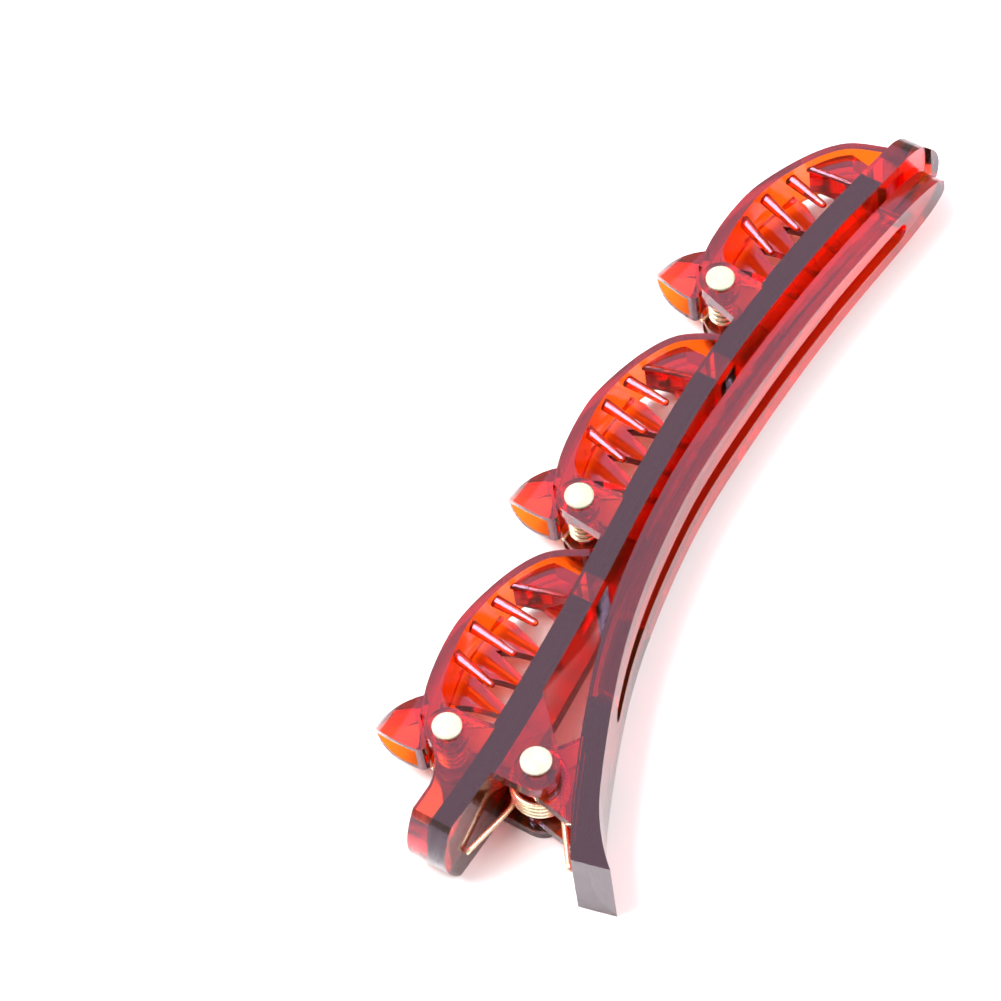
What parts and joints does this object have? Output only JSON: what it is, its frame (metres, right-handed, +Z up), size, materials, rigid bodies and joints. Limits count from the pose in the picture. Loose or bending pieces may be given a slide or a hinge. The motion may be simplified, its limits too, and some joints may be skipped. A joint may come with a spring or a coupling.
{
  "type": "sectioning clip",
  "caption": "Long curved sprung hair sectioning clip in translucent tortoise plastic, with small sprung claw clips along its back.",
  "frame": {"origin": "centre of the clip's outline seen from above, on the floor it lies on", "axes": "+X along the clip towards the tips, +Y towards the small claws on the back, +Z up along the rivets; the clip lies on its side"},
  "size_m": [0.1222, 0.0432, 0.0132],
  "materials": {
    "tortoise_plastic": "clear glossy translucent red-orange",
    "pearl_plastic": "opaque cream, smooth",
    "gold_wire": "pale gold plated"
  },
  "bodies": {
    "lower_jaw_body": {"lower_jaw": "tortoise_plastic", "main_spring": "gold_wire"},
    "upper_jaw_body": {"upper_jaw": "tortoise_plastic", "main_rivet": "pearl_plastic", "main_rivet_cap": "pearl_plastic", "claw_rivet_1": "pearl_plastic", "claw_rivet_2": "pearl_plastic", "claw_rivet_3": "pearl_plastic", "claw_rivet_cap_1": "pearl_plastic", "claw_rivet_cap_2": "pearl_plastic", "claw_rivet_cap_3": "pearl_plastic", "claw_spring_1": "gold_wire", "claw_spring_2": "gold_wire", "claw_spring_3": "gold_wire"},
    "claw_1_body": {"claw_1": "tortoise_plastic"},
    "claw_2_body": {"claw_2": "tortoise_plastic"},
    "claw_3_body": {"claw_3": "tortoise_plastic"}
  },
  "joints": [
    {"name": "main_hinge", "type": "hinge", "parent": "lower_jaw_body", "child": "upper_jaw_body", "pos_m": [-0.0459, -0.00601, 0.0062], "axis": [0, 0, 1], "range_deg": [0, 35], "stiffness_Nm_per_rad": 0.15, "springref_deg": -45.84, "deforming": ["main_spring"]},
    {"name": "claw_hinge_1", "type": "hinge", "parent": "upper_jaw_body", "child": "claw_1_body", "pos_m": [-0.04719, 0.00615, 0.0062], "axis": [0, 0, 1], "range_deg": [0, 28], "stiffness_Nm_per_rad": 0.008, "springref_deg": -57.3, "deforming": ["claw_spring_1"]},
    {"name": "claw_hinge_2", "type": "hinge", "parent": "upper_jaw_body", "child": "claw_2_body", "pos_m": [-0.01077, 0.00961, 0.0062], "axis": [0, 0, 1], "range_deg": [0, 28], "stiffness_Nm_per_rad": 0.008, "springref_deg": -57.3, "deforming": ["claw_spring_2"]},
    {"name": "claw_hinge_3", "type": "hinge", "parent": "upper_jaw_body", "child": "claw_3_body", "pos_m": [0.02679, 0.01119, 0.0062], "axis": [0, 0, 1], "range_deg": [0, 28], "stiffness_Nm_per_rad": 0.008, "springref_deg": -57.3, "deforming": ["claw_spring_3"]}
  ]
}
